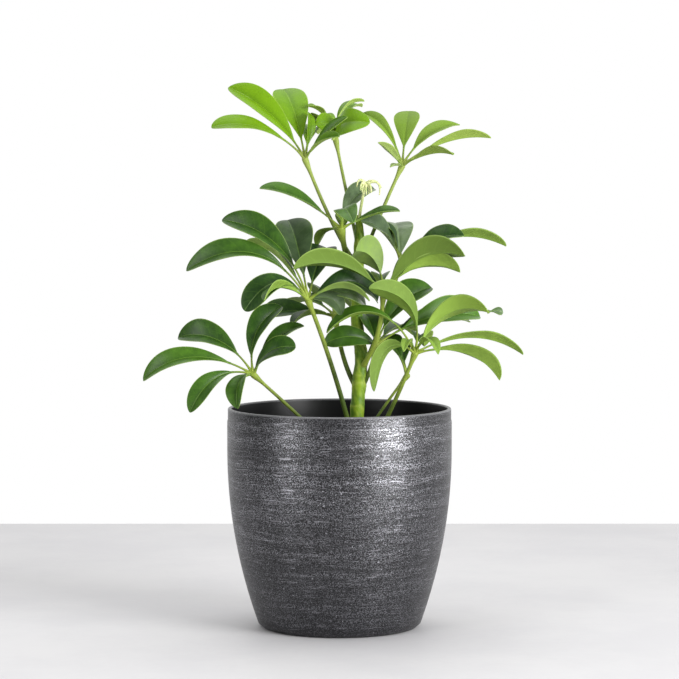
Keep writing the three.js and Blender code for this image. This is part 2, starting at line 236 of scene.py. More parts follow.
def cachepotFinish(look):
    finish = Finish("brushedPotPlastic")
    place = finish.objectPlace()
    x, y, z = finish.parts(place)
    radius = (x * x + y * y) ** 0.5
    drop = finish.sum("MAXIMUM", look["shoulderHeight"] * mm - z, 0.0)
    wall = look["wallRadius"] * mm - drop * drop * (look["wallFall"] / mm)
    outside = finish.step(radius - wall, -1.6 * mm, -1.0 * mm)
    bandFoot = (look["height"] - look["bandHeight"]) * mm
    brushed = outside * finish.step(z, bandFoot - 0.3 * mm, bandFoot + 0.6 * mm, 1.0, look["bandShare"])
    # painted shade: the flakes thin out towards the foot, so the lower wall is darker
    brushed = brushed * finish.step(z, 0.0, look["footFade"] * mm, look["footShare"], 1.0)

    waver = (finish.noise(place, 22, 1.0) - 0.5) * 0.006 + (finish.noise(place, 70, 1.0) - 0.5) * 0.0016
    level = finish.joined(x, y, z + waver)  # the brushing runs level round the wall, but not quite

    def drawn(start, scale, detail, roughness=0.5):
        return finish.noise(finish.stretched(start, look[scale]), 1.0, detail, roughness)

    fine = drawn(level, "fineStreaks", 3.0, 0.7)
    longer = drawn(level, "longStreaks", 2.0, 0.6)
    band = drawn(level, "bands", 3.0, 0.7)
    grain = drawn(level, "grain", 0.0)
    cloud = drawn(place, "clouds", 1.0)
    scuff = drawn(place, "scuffs", 3.0)
    density = 0.4 + 0.6 * finish.step(cloud * 0.3 + band * 0.7, 0.38, 0.62)
    streaks = finish.step(fine, 0.52, 0.68) * density
    specks = finish.step(grain, 0.53, 0.64) * density
    lines = finish.step(longer, 0.61, 0.67) * finish.step(finish.noise(place, 120, 1.0), 0.46, 0.58)
    glints = finish.step(finish.noise(place, 700, 1.0), 0.74, 0.78)
    silverSheen = look["streakAmount"] * streaks + look["speckAmount"] * specks + look["lineAmount"] * lines
    silverSheen = finish.sum("MINIMUM", (silverSheen + glints) * brushed, 1.0)

    # a paler line along the foot of the rim band, and a paler lip
    ringGap = abs(z - bandFoot + 0.35 * mm)
    ringLine = finish.step(ringGap, 0.15 * mm, 0.5 * mm, 1.0, 0.0) * outside
    ringLine = ringLine * finish.step(finish.noise(place, 55, 2.0), 0.44, 0.58)
    lip = finish.step(z, (look["height"] - 1.4) * mm, (look["height"] - 0.5) * mm)
    worn = finish.sum("MAXIMUM", ringLine * look["ringPale"], lip * look["lipPale"])

    # painted shade: the inner wall takes the darker inside colour
    colour = finish.blend(outside, look["inside"], look["plastic"])
    colour = finish.blend(worn, colour, look["worn"])
    relief = 0.45 * fine + 0.3 * grain + 0.25 * longer
    normal = finish.bump(relief * (0.15 + 0.85 * brushed), 0.5, look["relief"] * mm)
    plastic = finish.node("ShaderNodeBsdfPrincipled", {}, {
        "Base Color": colour, "Specular IOR Level": 0.3, "Normal": normal,
        "Roughness": look["plasticRoughness"] - 0.05 * (1 - outside) + 0.1 * scuff,
    })
    flakes = finish.node("ShaderNodeBsdfPrincipled", {}, {
        "Base Color": look["silverSheen"], "Metallic": 1.0, "Normal": normal,
        "Roughness": look["flakeRoughness"] + 0.1 * scuff,
    })
    both = finish.node("ShaderNodeMixShader", {}, {0: silverSheen, 1: plastic, 2: flakes})
    finish.node("ShaderNodeOutputMaterial", {}, {"Surface": both})
    return finish.owner


def evenly(low, high, steps):
    return [low + (high - low) * i / steps for i in range(steps + 1)]


def makeCachepot(look):
    top, floor, rim, wall = look["height"], look["floor"], look["rimRadius"], look["wallRadius"]
    band = top - look["bandHeight"]
    mouth = rim - look["wall"]
    outerFoot = potOuter(0) - look["footCorner"]
    innerFoot = potOuter(floor) - look["wall"] - look["footCorner"]
    outer = evenly(look["footHeight"], look["shoulderHeight"], look["outerRings"])
    inner = evenly(look["innerCurve"], look["shoulderHeight"], look["innerRings"])[::-1]
    profile = [(0, 0), (outerFoot - 3, 0), (outerFoot, 0.35)]
    profile += [(potOuter(height), height) for height in outer]
    profile += [(wall, band - 1.0), (wall - 0.1, band - 0.4), (rim + 0.1, band + 0.1), (rim, band + 0.6),
                (rim, top), (mouth, top)]
    profile += [(potOuter(height) - look["wall"], height) for height in inner]
    profile += [(innerFoot + 0.6, floor + 3), (innerFoot - 3, floor), (0, floor)]
    rounds = [(radius, top, look["lipRound"], look["lipSteps"]) for radius in (rim, mouth)]
    mesh = turnProfile(profile, look["segments"], rounds)
    addPiece("cachepotShell", mesh, cachepotFinish(look), "cachepot", 50)


makeCachepot(cachepot)
print("outer pot made")


growingPot = {
    "base": 3.3, "top": 101, "footRadius": 40, "rimRadius": 57, "lip": 2, "wall": 1.3, "segments": 96,
    "footRound": 1.2, "lipRound": 0.5, "roundSteps": 3,
    "drainHoles": 6, "drainRadius": 4, "drainCircle": 27,
    "drillSides": 20, "drillDepth": 12, "drillTurn": 0.1,
    "plastic": shade(30, 30, 31), "dust": shade(74, 66, 58),
}


def growingPotFinish(look):
    finish = Finish("nurseryPotPlastic")
    place = finish.objectPlace()
    dust = finish.step(finish.noise(place, 90, 4.0, 0.6), 0.5, 0.72)
    rings = finish.noise(finish.stretched(place, (6, 6, 900)), 1.0, 1.0)
    return finish.surface({
        "Base Color": finish.blend(dust * 0.5, look["plastic"], look["dust"]),
        "Roughness": 0.5 + 0.3 * dust,
        "Normal": finish.bump(rings + 0.5 * dust, 0.3, 0.1 * mm),
    })


def makeGrowingPot(look):
    base, top, foot, rim = look["base"], look["top"], look["footRadius"], look["rimRadius"]
    lipFoot = top - look["lip"]
    lipRadius = rim + look["lip"]
    floor = base + look["wall"]
    profile = [(0, base), (foot, base), (rim, lipFoot), (lipRadius, lipFoot), (lipRadius, top),
               (rim - look["wall"], top), (foot - look["wall"], floor), (0, floor)]
    rounds = [(foot, base, look["footRound"], look["roundSteps"]),
              (lipRadius, top, look["lipRound"], look["roundSteps"]),
              (lipRadius, lipFoot, look["lipRound"], look["roundSteps"])]
    mesh = turnProfile(profile, look["segments"], rounds)
    drill = bmesh.new()
    turn = Matrix.Rotation(look["drillTurn"], 4, "Z")  # its corners stay off the floor's radial edges
    for index in range(look["drainHoles"]):
        angle = index / look["drainHoles"] * 2 * math.pi
        spot = (look["drainCircle"] * math.cos(angle), look["drainCircle"] * math.sin(angle), floor)
        bmesh.ops.create_cone(drill, cap_ends=True, segments=look["drillSides"],
                              radius1=look["drainRadius"], radius2=look["drainRadius"],
                              depth=look["drillDepth"], matrix=Matrix.Translation(spot) @ turn)
    mesh = cutAway("growingPotShell", mesh, drill)
    addPiece("growingPotShell", mesh, growingPotFinish(look), "growing_pot")


makeGrowingPot(growingPot)
print("growing pot made")


soil = {
    "top": 88, "wave": 1.6, "lump": 1.3, "lumpScale": 0.22, "fit": 0.3, "rings": 46, "segments": 120,
    "lowRing": 45, "stemRadius": 5.2, "stemPlace": (11, 0), "stemDepth": 27, "stemSides": 32,
    "crumbs": 620, "chips": 120, "crumbSize": (0.7, 1.9), "chipSize": (1.6, 3.4), "stemClear": 0.6,
    "edgeClear": 3, "sunk": 0.45, "dent": 0.16, "seed": 41,
    "peat": shade(46, 33, 25), "dark": shade(24, 17, 13), "bark": shade(96, 66, 42),
}


def soilHeight(x, y):
    broad = math.sin(0.31 * x + 0.5) * math.cos(0.27 * y - 0.4)
    lumps = noise.fractal(Vector((x, y, 0)) * soil["lumpScale"], 0.9, 2.0, 4)
    return soil["top"] + soil["wave"] * broad + soil["lump"] * lumps


def soilFinish(look):
    finish = Finish("pottingSoil")
    place = finish.objectPlace()
    grain = finish.noise(place, 900, 5.0, 0.7)
    patch = finish.step(finish.noise(place, 110, 3.0), 0.42, 0.62)
    fleck = finish.step(finish.noise(place, 260, 2.0), 0.6, 0.68)
    colour = finish.blend(grain, look["dark"], look["peat"])
    colour = finish.blend(fleck * 0.7, colour, look["bark"])
    colour = finish.blend(patch * 0.35, colour, look["dark"])
    return finish.surface({
        "Base Color": colour, "Roughness": 0.95 - 0.25 * fleck,
        "Normal": finish.bump(grain, 0.8, 0.5 * mm),
    })


def addCrumbs(mesh, look, edge):  # crumbs and chips of bark, partly sunk in the soil and clear of the stem
    dice = random.Random(look["seed"])
    for index in range(look["crumbs"] + look["chips"]):
        chip = index >= look["crumbs"]
        reach = (edge - look["edgeClear"]) * math.sqrt(dice.random())
        angle = dice.uniform(0, 2 * math.pi)
        x, y = reach * math.cos(angle), reach * math.sin(angle)
        size = dice.uniform(*look["chipSize" if chip else "crumbSize"])
        if math.hypot(x - look["stemPlace"][0], y) < look["stemRadius"] + size + look["stemClear"]:
            continue
        shape = (size, size * dice.uniform(0.5, 0.9), size * dice.uniform(0.3, 0.5 if chip else 0.8))
        turn = (Matrix.Rotation(dice.uniform(0, 6.28), 4, "Z")
                @ Matrix.Rotation(dice.uniform(-0.5, 0.5), 4, "X"))
        spot = Matrix.Translation((x, y, soilHeight(x, y) + shape[2] * look["sunk"]))
        at = spot @ turn @ Matrix.Diagonal((*shape, 1))
        for vert in bmesh.ops.create_icosphere(mesh, subdivisions=1, radius=1, matrix=at)["verts"]:
            vert.co += Vector([dice.uniform(-look["dent"], look["dent"]) * size for axis in range(3)])


def makeSoil(look):
    pot = growingPot
    floor = pot["base"] + pot["wall"]
    slope = (pot["rimRadius"] - pot["footRadius"]) / (pot["top"] - floor)

    def radiusAt(height):
        return pot["footRadius"] - pot["wall"] - 2 * look["fit"] + slope * (height - floor)

    foot = floor + look["fit"]
    edge = radiusAt(look["top"])
    profile = [(0, foot), (radiusAt(foot), foot), (radiusAt(look["lowRing"]), look["lowRing"])]
    profile += [(edge * (1 - i / look["rings"]), look["top"]) for i in range(look["rings"] + 1)]
    mesh = turnProfile(profile, look["segments"], [])
    for vert in mesh.verts:  # all of the top but its edge is uneven
        if vert.co.z > look["top"] - 1 and vert.co.xy.length < edge - 1:
            vert.co.z = soilHeight(vert.co.x, vert.co.y)
    hole = bmesh.new()
    at = Matrix.Translation((*look["stemPlace"], look["top"]))
    bmesh.ops.create_cone(hole, cap_ends=True, segments=look["stemSides"], radius1=look["stemRadius"],
                          radius2=look["stemRadius"], depth=2 * look["stemDepth"], matrix=at)
    mesh = cutAway("pottingSoil", mesh, hole)
    addCrumbs(mesh, look, edge)
    addPiece("pottingSoil", mesh, soilFinish(look), "soil", 60)


makeSoil(soil)
print("soil made")


class Curve:  # a quadratic curve from start past bend to end
    def __init__(self, start, bend, end):
        self.start, self.bend, self.end = Vector(start), Vector(bend), Vector(end)

    def point(self, t):
        return self.start * (1 - t) ** 2 + self.bend * (2 * t * (1 - t)) + self.end * t * t

    def ahead(self, t):
        return ((self.bend - self.start) * (1 - t) + (self.end - self.bend) * t).normalized()

    def length(self):
        points = [self.point(i / 12) for i in range(13)]
        return sum((b - a).length for a, b in zip(points, points[1:]))


class Route:  # a smooth curve through its points
    def __init__(self, points):
        self.points = [Vector(point) for point in points]

    def point(self, t):
        spans = len(self.points) - 1
        index = min(int(t * spans), spans - 1)
        u = t * spans - index
        b, c = self.points[index], self.points[index + 1]
        a = self.points[index - 1] if index else b * 2 - c
        d = self.points[index + 2] if index + 2 <= spans else c * 2 - b
        return (b * 2 + (c - a) * u + (a * 2 - b * 5 + c * 4 - d) * u ** 2
                + (b * 3 - a - c * 3 + d) * u ** 3) / 2

    def ahead(self, t):
        return (self.point(min(1, t + 0.01)) - self.point(max(0, t - 0.01))).normalized()


class PartCurve:  # a stretch of another curve
    def __init__(self, whole, start, end):
        self.whole, self.first, self.last = whole, start, end

    def inside(self, t):
        return self.first + (self.last - self.first) * t

    def point(self, t):
        return self.whole.point(self.inside(t))

    def ahead(self, t):
        return self.whole.ahead(self.inside(t))


def sweepStalk(mesh, curve, radiusAt, sides, steps, tint, start=0.0):  # a closed round stalk on a curve,
    # whose place along it runs from start to start + 1
    tintLayer = mesh.verts.layers.float_color["leafTint"]
    placeLayer = mesh.verts.layers.float_vector["leafPlace"]
    ahead = curve.ahead(0)
    aside = ahead.orthogonal().normalized()
    before = Matrix.Identity(4)
    ring = bmesh.ops.create_circle(mesh, cap_ends=True, segments=sides, radius=1)["verts"]
    edges = list({edge for vert in ring for edge in vert.link_edges})
    for step in range(steps + 1):
        t = step / steps
        ahead = curve.ahead(t)
        aside = (aside - ahead * aside.dot(ahead)).normalized()
        radius = radiusAt(t, curve.point(t).z)
        station = Matrix((aside * radius, ahead.cross(aside) * radius, ahead)).transposed().to_4x4()
        station.translation = curve.point(t)
        if step:
            grown = bmesh.ops.extrude_edge_only(mesh, edges=edges)["geom"]
            ring = [one for one in grown if isinstance(one, bmesh.types.BMVert)]
            edges = [one for one in grown if isinstance(one, bmesh.types.BMEdge) and one.is_boundary]
        bmesh.ops.transform(mesh, matrix=station @ before.inverted(), verts=ring)
        before = station
        for vert in ring:
            vert[tintLayer] = tint
            vert[placeLayer] = (0, start + t, 0)
    bmesh.ops.edgeloop_fill(mesh, edges=edges)


def newPlantMesh():
    mesh = bmesh.new()
    # how far it is under side, bright (partly painted light and shade), stalk, and painted grey sheen, or
    # on a stalk how far painted light makes it pale
    mesh.verts.layers.float_color.new("leafTint")
    # its place across, from -1 to 1, and along, and half the blade's width there
    mesh.verts.layers.float_vector.new("leafPlace")
    return mesh


stem = {
    "foot": 62, "tip": (12.2, -1, 257), "footRadius": 4.8, "tipRadius": 3, "place": (11, 0),
    "taperFrom": 243, "taper": 0.5, "sides": 28, "steps": 220,
    "route": [(11, 0, 92), (11, -0.5, 132), (12.5, 0, 154), (13.5, 0.5, 170), (10.8, 0.5, 192),
              (11.5, 0, 215), (12.3, 0, 236)],
    # height of each old leaf's scar, and how far the stem swells there
    "scars": [(121, 0.4), (137, 0.3), (151, 0.7), (157, 0.8), (171, 0.4), (186, 0.3), (204, 0.4),
              (236, 0.5)],
    "scarSpread": 3.5, "scarShare": 0.6, "ridgeSpread": 0.5, "ridge": 0.1,
    "unevenness": [(0.35, 0.22), (1.7, 0.05)],  # how fine, and how deep
    "green": shade(82, 120, 20), "bright": shade(140, 168, 42), "scar": shade(176, 182, 92),
    "woody": shade(102, 100, 56), "woodyFrom": 112, "woodyFull": 85,
    "patches": (240, 240, 75), "blotches": (170, 170, 90), "grain": (900, 900, 120),
}


def stemFinish(look):
    finish = Finish("greenStem")
    place = finish.objectPlace()
    x, y, z = finish.parts(place)
    slanted = finish.joined(x + 0.35 * z, y + 0.2 * z, z)
    patch = finish.noise(finish.stretched(slanted, look["patches"]), 1.0, 2.0)
    blotch = finish.noise(finish.stretched(slanted, look["blotches"]), 1.0, 2.0)
    grain = finish.noise(finish.stretched(place, look["grain"]), 1.0, 3.0)
    colour = finish.blend(finish.step(patch, 0.35, 0.66), look["green"], look["bright"])
    colour = finish.blend(finish.step(grain, 0.5, 0.75) * 0.3, colour, look["bright"])
    colour = finish.blend(finish.step(blotch, 0.54, 0.68) * 0.35, colour, look["scar"])

    waver = (finish.noise(place, 75, 1.0) - 0.5) * 0.014
    rings = 0.0
    for height, rise in look["scars"]:
        rings = rings + finish.step(abs(z + waver - height * mm), 0.25 * mm, 1.0 * mm, 1.0, 0.0)
    rings = finish.sum("MINIMUM", rings, 1.0)
    colour = finish.blend(rings * finish.step(patch, 0.4, 0.6) * 0.3, colour, look["scar"])
    low = finish.step(z, look["woodyFull"] * mm, look["woodyFrom"] * mm, 1.0, 0.0)
    colour = finish.blend(low * 0.75, colour, look["woody"])
    pores = finish.step(finish.noise(place, 1100, 1.0), 0.66, 0.72)
    colour = finish.blend(pores * 0.3, colour, look["scar"])
    return finish.surface({
        "Base Color": colour, "Roughness": 0.48 + 0.2 * rings + 0.2 * low, "Specular IOR Level": 0.3,
        "Normal": finish.bump(grain + 0.6 * pores, 0.35, 0.15 * mm),
    })


def makeStem(look):
    route = Route([(*look["place"], look["foot"]), *look["route"], look["tip"]])
    foot, tip = look["footRadius"], look["tipRadius"]
    taperLength = look["tip"][2] - look["taperFrom"]

    def radiusAt(t, height):
        swell = max(rise * bell(height - scar, look["scarSpread"]) for scar, rise in look["scars"])
        ridge = max(bell(height - scar, look["ridgeSpread"]) for scar, rise in look["scars"])
        nearTip = max(0, (height - look["taperFrom"]) / taperLength)
        body = (foot + (tip - foot) * t) * (1 - look["taper"] * nearTip ** 1.5)
        return body + look["scarShare"] * swell + look["ridge"] * ridge

    mesh = newPlantMesh()
    sweepStalk(mesh, route, radiusAt, look["sides"], look["steps"], (0, 0, 1, 0))
    for vert in mesh.verts:  # the bark is a little uneven, all but the middle of its ends
        lean = sum(noise.noise(vert.co * fineness) * depth for fineness, depth in look["unevenness"])
        out = Vector((vert.co.x - route.points[0].x, vert.co.y, 0))
        if out.length > 0.5:
            vert.co += out.normalized() * lean
    addPiece("mainStem", mesh, stemFinish(look), "main_stem", 60)


makeStem(stem)
print("stem made")


blade = {
    "thickness": 0.75, "marginThickness": 0.4, "tip": 0.3, "skew": 1.6, "fullness": 0.62, "curlFrom": 0.55,
    "trough": 0.5, "stalk": 1.2, "footShare": 0.15, "rows": 34, "columns": 16, "longer": 0.05,
    "wave": (0.02, 0.05), "waveCount": (1.3, 2.4),  # each leaflet's own is drawn between the two
    "brightSpread": 0.18, "troughSpread": 0.15,
    "veins": 8, "veinSweep": 2.1, "veinRelief": 0.04, "midribDepth": 0.55, "groove": 0.22, "ribSpread": 0.7,
}

leafLooks = {
    "leaf": {
        "name": "matureLeaf", "deep": shade(26, 54, 16), "top": shade(76, 118, 28),
        "under": shade(136, 166, 66), "underDeep": shade(98, 124, 46),
        "rib": shade(118, 154, 62), "margin": shade(146, 172, 88),
        "stalk": shade(138, 156, 60), "stalkDeep": shade(64, 84, 30), "silverSheen": shade(122, 140, 106),
        "gloss": 0.38, "coat": 0.08,
    },
    "young_leaf": {
        "name": "youngLeaf", "deep": shade(60, 100, 5), "top": shade(104, 145, 6),
        "under": shade(144, 168, 76), "underDeep": shade(116, 142, 50),
        "rib": shade(128, 160, 50), "margin": shade(150, 174, 80),
        "stalk": shade(142, 158, 74), "stalkDeep": shade(98, 118, 48), "silverSheen": shade(140, 152, 110),
        "gloss": 0.38, "coat": 0.06,
    },
}

leafDetail = {
    "mottle": 170, "fine": 900, "broad": 45,  # how fine each unevenness of the colour is
    "vein": 0.07, "rib": 0.32, "underVein": 0.16, "underRib": 0.35, "margin": 0.55,  # how far each shows
    "ribHalf": 0.34, "ribNarrower": 0.26, "ribBlur": 0.22,
    "coatRoughness": 0.2, "specular": 0.23, "relief": 0.2,
}


def leafFinish(look):
    finish = Finish(look["name"])
    detail = leafDetail
    place = finish.objectPlace()
    tint = finish.node("ShaderNodeAttribute", {"attribute_name": "leafTint"}, {}, "Vector")
    under, bright, stalk = finish.parts(tint)
    fourth = finish.node("ShaderNodeAttribute", {"attribute_name": "leafTint"}, {}, "Alpha")
    lit = fourth * stalk
    silverSheen = fourth * (1 - stalk)
    spot = finish.node("ShaderNodeAttribute", {"attribute_name": "leafPlace"}, {}, "Vector")
    across, along, half = finish.parts(spot)
    side = abs(across)
    ribHalf = detail["ribHalf"] - detail["ribNarrower"] * along

    phase = along * blade["veins"] - side ** 1.25 * blade["veinSweep"] * 0.5
    saw = abs(finish.sum("FRACT", phase) - 0.5) * 2
    vein = finish.step(saw, 0.86, 0.98) * finish.step(side, 0.93, 0.7) * finish.step(along, 0.06, 0.16)
    rib = finish.step(side * half - ribHalf, 0.0, detail["ribBlur"], 1.0, 0.0)
    margin = finish.step(side, 0.93, 0.985) * (1 - stalk)

    mottle = finish.noise(place, detail["mottle"], 4.0, 0.6)
    fine = finish.noise(place, detail["fine"], 3.0, 0.6)
    broad = finish.noise(place, detail["broad"], 2.0)
    # a leaflet's bright sets how light its green is: partly its own tone, partly painted light and shade
    # where it stands lit or in shade
    tone = finish.step(bright + (mottle - 0.5) * 0.7, 0.0, 1.0)
    green = finish.blend(tone, look["deep"], look["top"])
    top = finish.blend(0.25 * finish.step(side, 0.5, 0.0) * (1 - rib), green, look["deep"])
    top = finish.blend(detail["vein"] * vein + detail["rib"] * rib, top, look["rib"])
    # the underside is lighter or darker by bright too, partly painted light and shade
    depth = 0.5 * mottle + 0.12 * fine + 0.6 * broad + 0.9 * (0.5 - bright) + 0.19
    below = finish.blend(finish.step(depth, 0.5, 1.15), look["under"], look["underDeep"])
    below = finish.blend(detail["underVein"] * vein + detail["underRib"] * rib, below, look["rib"])
    colour = finish.blend(under, top, below)
    # painted reflection: a leaflet's grey sheen is blended into its colour, as a whitish gloss would show
    colour = finish.blend(silverSheen * finish.step(mottle, 0.3, 0.75, 0.4, 0.75), colour, look["silverSheen"])
    colour = finish.blend(margin * detail["margin"], colour, look["margin"])

    # a stalk is pale at its hub, and at its foot by its own paler base and by painted light where shade
    # falls; it is as green as its blade where that begins
    bare = finish.step(along + (mottle - 0.5) * 0.7, 0.3, 1.1)
    bare = finish.blend(bare, look["stalkDeep"], look["stalk"])
    # painted light, in part: the stalk pales towards its foot
    bare = finish.blend(finish.step(along, 0.0, 0.35, 0.75, 0.0), bare, look["stalk"])
    # painted light: a stalk so marked takes its paler stalk colour all along
    bare = finish.blend(lit, bare, look["stalk"])
    bare = finish.blend(finish.step(along, 1.15, 1.9, 0.0, 0.6), bare, green)
    colour = finish.blend(stalk, colour, bare)

    roughness = look["gloss"] + 0.26 * under + 0.12 * (mottle - 0.5) + 0.14 * stalk - 0.08 * silverSheen
    wax = (look["coat"] + 0.3 * silverSheen) * (1 - under) * (1 - stalk)
    relief = (1 - stalk) * (0.18 * saw ** 3 * (under * 2 - 1)) + 0.25 * fine + 0.3 * mottle
    return finish.surface({
        "Base Color": colour, "Roughness": roughness, "Coat Weight": wax,
        "Coat Roughness": detail["coatRoughness"], "Specular IOR Level": detail["specular"],
        "Normal": finish.bump(relief, 0.25, detail["relief"] * mm),
    })


def midrib(hub, tip, bow, turn, bowTurn=None):  # its line, and the way its blade's upper side faces
    reach = Vector(tip)
    chord = reach.normalized()
    aside = chord.cross(Vector((0, 0, 1))).normalized()
    upward = aside.cross(chord)
    if aside.y > 0:
        aside.negate()

    def turned(degrees):
        return upward * math.cos(math.radians(degrees)) + aside * math.sin(math.radians(degrees))

    lift = turned(turn / 2 if bowTurn is None else bowTurn)
    return Curve(hub, hub + reach / 2 + lift * (2 * bow), hub + reach), turned(turn)


def bladeHalf(along, width, skew, fullness):
    least = blade["stalk"] / 2 + (blade["tip"] - blade["stalk"] / 2) * along
    full = math.sin(math.pi * min(1, along) ** skew)
    return max(least, width / 2 * max(0, full) ** fullness)


def bladeThickness(along, out):
    thickness = blade["thickness"] + (blade["marginThickness"] - blade["thickness"]) * out ** 3
    return thickness + (blade["stalk"] - blade["thickness"]) * max(0, 1 - along / blade["footShare"])


def bladeRise(form, along, across, half, upper):  # how far a blade's middle sheet is above its midrib
    out = abs(across)
    rise = form["trough"] * half * (1.3 * out - 0.3 * out * out) * min(1, along * 12)
    ripple = math.sin(2 * math.pi * form["waveCount"] * along + form["wavePhase"][0 if across > 0 else 1])
    rise += form["wave"] * half * out ** 2 * ripple * math.sin(math.pi * along)
    veinPhase = along * blade["veins"] - out ** 1.25 * blade["veinSweep"] * 0.5
    quilt = abs(math.sin(math.pi * veinPhase)) * math.sin(math.pi * min(1, out))
    rise += blade["veinRelief"] * quilt * math.sin(math.pi * along)
    ribNear = bell(across * half, blade["ribSpread"]) * (1 - along) ** 0.7
    return rise - (blade["groove"] if upper else blade["midribDepth"]) * ribNear * min(1, along * 8)


sheath = {
    "reach": 7, "swell": 0.7, "hub": 2.0, "slimmer": 0.84, "flare": 1.1, "flareReach": 5,
    "fan": 0.6, "fanReach": 4.5, "sides": 14, "steps": 44,
}


def addLeafletStalk(mesh, curve, share, bright):
    stalk = PartCurve(curve, 0, share + 0.04)
    length = (stalk.point(1) - stalk.point(0)).length

    def radiusAt(t, height):
        return blade["stalk"] / 2 * (1.15 - 0.2 * t) + sheath["fan"] * bell(t * length, sheath["fanReach"])

    sweepStalk(mesh, stalk, radiusAt, 10, 14, (0, bright, 1, 0), 1.0)


def addLeaflet(mesh, hub, leaflet, alike, dice, change):  # alike is the frond's, change the leaflet's own
    tintLayer = mesh.verts.layers.float_color["leafTint"]
    placeLayer = mesh.verts.layers.float_vector["leafPlace"]
    share, width, bow, turn, curl = leaflet[3:8]
    share -= blade["longer"]
    curve, face = midrib(hub, leaflet[:3], bow, turn, *leaflet[8:])
    # bright is partly the leaflet's own tone, partly painted light and shade
    drawn = alike["bright"] + dice.uniform(-blade["brightSpread"], blade["brightSpread"])
    bright = change.get("bright", min(1, max(0, drawn)))
    drawn = blade["trough"] * dice.uniform(1 - blade["troughSpread"], 1 + blade["troughSpread"])
    form = {
        "trough": change.get("trough", drawn), "wave": dice.uniform(*blade["wave"]),
        "waveCount": dice.uniform(*blade["waveCount"]),
        "wavePhase": [dice.uniform(0, 6.28), dice.uniform(0, 6.28)],
    }
    skew = change.get("skew", blade["skew"])
    fullness = change.get("fullness", blade["fullness"])
    pale = change.get("pale", alike["pale"])
    # how much painted grey sheen, a painted reflection, the leaflet's colour takes
    silverSheen = change.get("silverSheen", 0)
    addLeafletStalk(mesh, curve, share, bright)

    rows, columns = blade["rows"], blade["columns"]
    grid = bmesh.ops.create_grid(mesh, x_segments=columns, y_segments=rows, size=1)["verts"]
    faces = list({one for vert in grid for one in vert.link_faces})
    grown = bmesh.ops.extrude_face_region(mesh, geom=faces)["geom"]
    lower = {one for one in grown if isinstance(one, bmesh.types.BMVert)}
    for vert in [*grid, *lower]:
        upper = vert not in lower
        across = vert.co.x * (0.62 + 0.38 * abs(vert.co.x))  # closer together by the midrib
        row = (vert.co.y + 1) / 2
        along = 0.5 - 0.5 * math.cos(math.pi * row)  # closer together by the ends
        at = share + (1 - share) * along
        ahead = curve.ahead(at)
        normal = (face - ahead * face.dot(ahead)).normalized()
        aside = normal.cross(ahead)
        half = bladeHalf(along, width, skew, fullness)
        droop = curl * max(0, (along - blade["curlFrom"]) / (1 - blade["curlFrom"])) ** 2
        rise = bladeRise(form, along, across, half, upper)
        sheet = (1 if upper else -1) * bladeThickness(along, abs(across)) / 2
        vert[tintLayer] = (pale if upper else 1, bright, 0, silverSheen)
        vert[placeLayer] = (across, along, half)
        vert.co = curve.point(at) + aside * (across * half) + normal * (rise - droop + sheet)


def addPetiole(mesh, one, swell, knob, tint):
    curve = Curve(one["joint"], one["bend"], one["hub"])
    length = curve.length()
    foot, head = one["radii"]

    def radiusAt(t, height):
        flare = sheath["flare"] * bell((1 - t) * length, sheath["flareReach"]) if swell else 0
        swollen = swell * bell(t * length, sheath["reach"])
        return (foot + (head - foot) * t) * sheath["slimmer"] + swollen + flare

    sweepStalk(mesh, curve, radiusAt, sheath["sides"], sheath["steps"], tint)
    tintLayer = mesh.verts.layers.float_color["leafTint"]
    placeLayer = mesh.verts.layers.float_vector["leafPlace"]
    at = Matrix.Translation(one["hub"])
    for vert in bmesh.ops.create_icosphere(mesh, subdivisions=3, radius=knob, matrix=at)["verts"]:
        vert[tintLayer] = tint
        vert[placeLayer] = (0, 1, 0)
